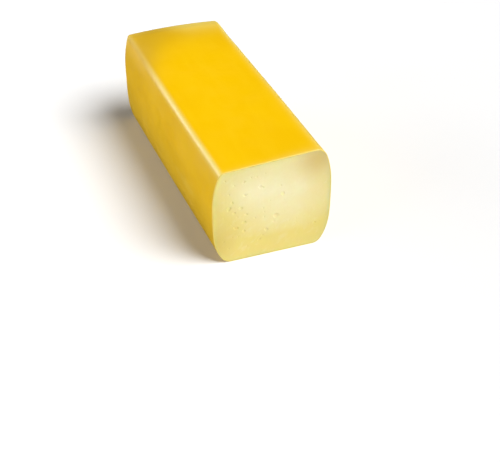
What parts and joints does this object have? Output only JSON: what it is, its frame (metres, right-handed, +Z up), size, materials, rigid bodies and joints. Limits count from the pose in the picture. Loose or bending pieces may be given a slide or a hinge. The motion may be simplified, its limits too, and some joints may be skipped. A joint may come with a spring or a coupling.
{
  "type": "cut loaf of tilsit cheese",
  "caption": "Rectangular loaf of tilsit cheese with bellied sides and a smooth yellow rind, its front sliced off to show the pale paste with small eyes.",
  "frame": {"origin": "middle of the box of the loaf, on the surface that it rests on", "axes": "+Z up, +Y along the loaf from the cut face to the moulded end, +X to the right as seen from in front of the cut face"},
  "size_m": [0.1052, 0.2606, 0.0966],
  "materials": {
    "rind": "smooth satin yellow rind with a soft sheen along the ridges",
    "paste": "moist pale yellow cheese, fine grained, with small irregular eyes"
  },
  "bodies": {
    "root": {"tilsit_loaf": "rind"}
  },
  "joints": []
}
